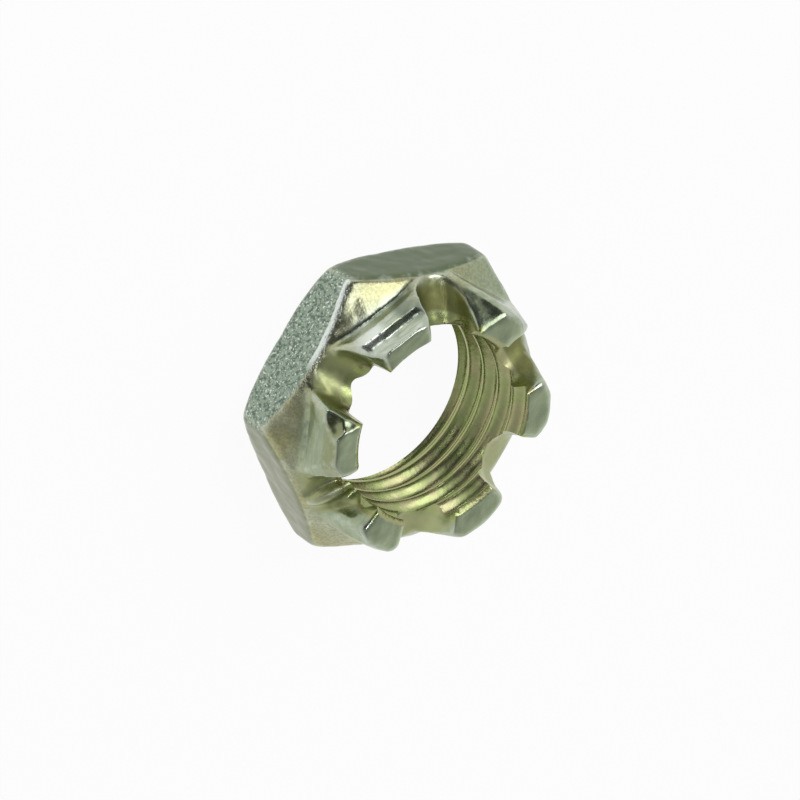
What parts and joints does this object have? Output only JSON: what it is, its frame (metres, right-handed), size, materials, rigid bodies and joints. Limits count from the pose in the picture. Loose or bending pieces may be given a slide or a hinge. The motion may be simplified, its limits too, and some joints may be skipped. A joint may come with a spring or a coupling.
{
  "type": "castle nut",
  "caption": "Thin castle nut: a chamfered hexagon with a crown of lugs around a threaded bore, parted by round-bottomed cotter pin slots.",
  "frame": {"origin": "centre of the flat bearing face, on the thread axis", "axes": "+Z along the thread axis from the bearing face to the crown; +X through a corner of the hexagon and the lug over it; two wrench flats face +Y and -Y"},
  "size_m": [0.0274, 0.024, 0.0098],
  "materials": {
    "zinc_plate": "zinc plated with a yellow-green passivate, satin"
  },
  "bodies": {
    "root": {"castle_nut": "zinc_plate"}
  },
  "joints": []
}
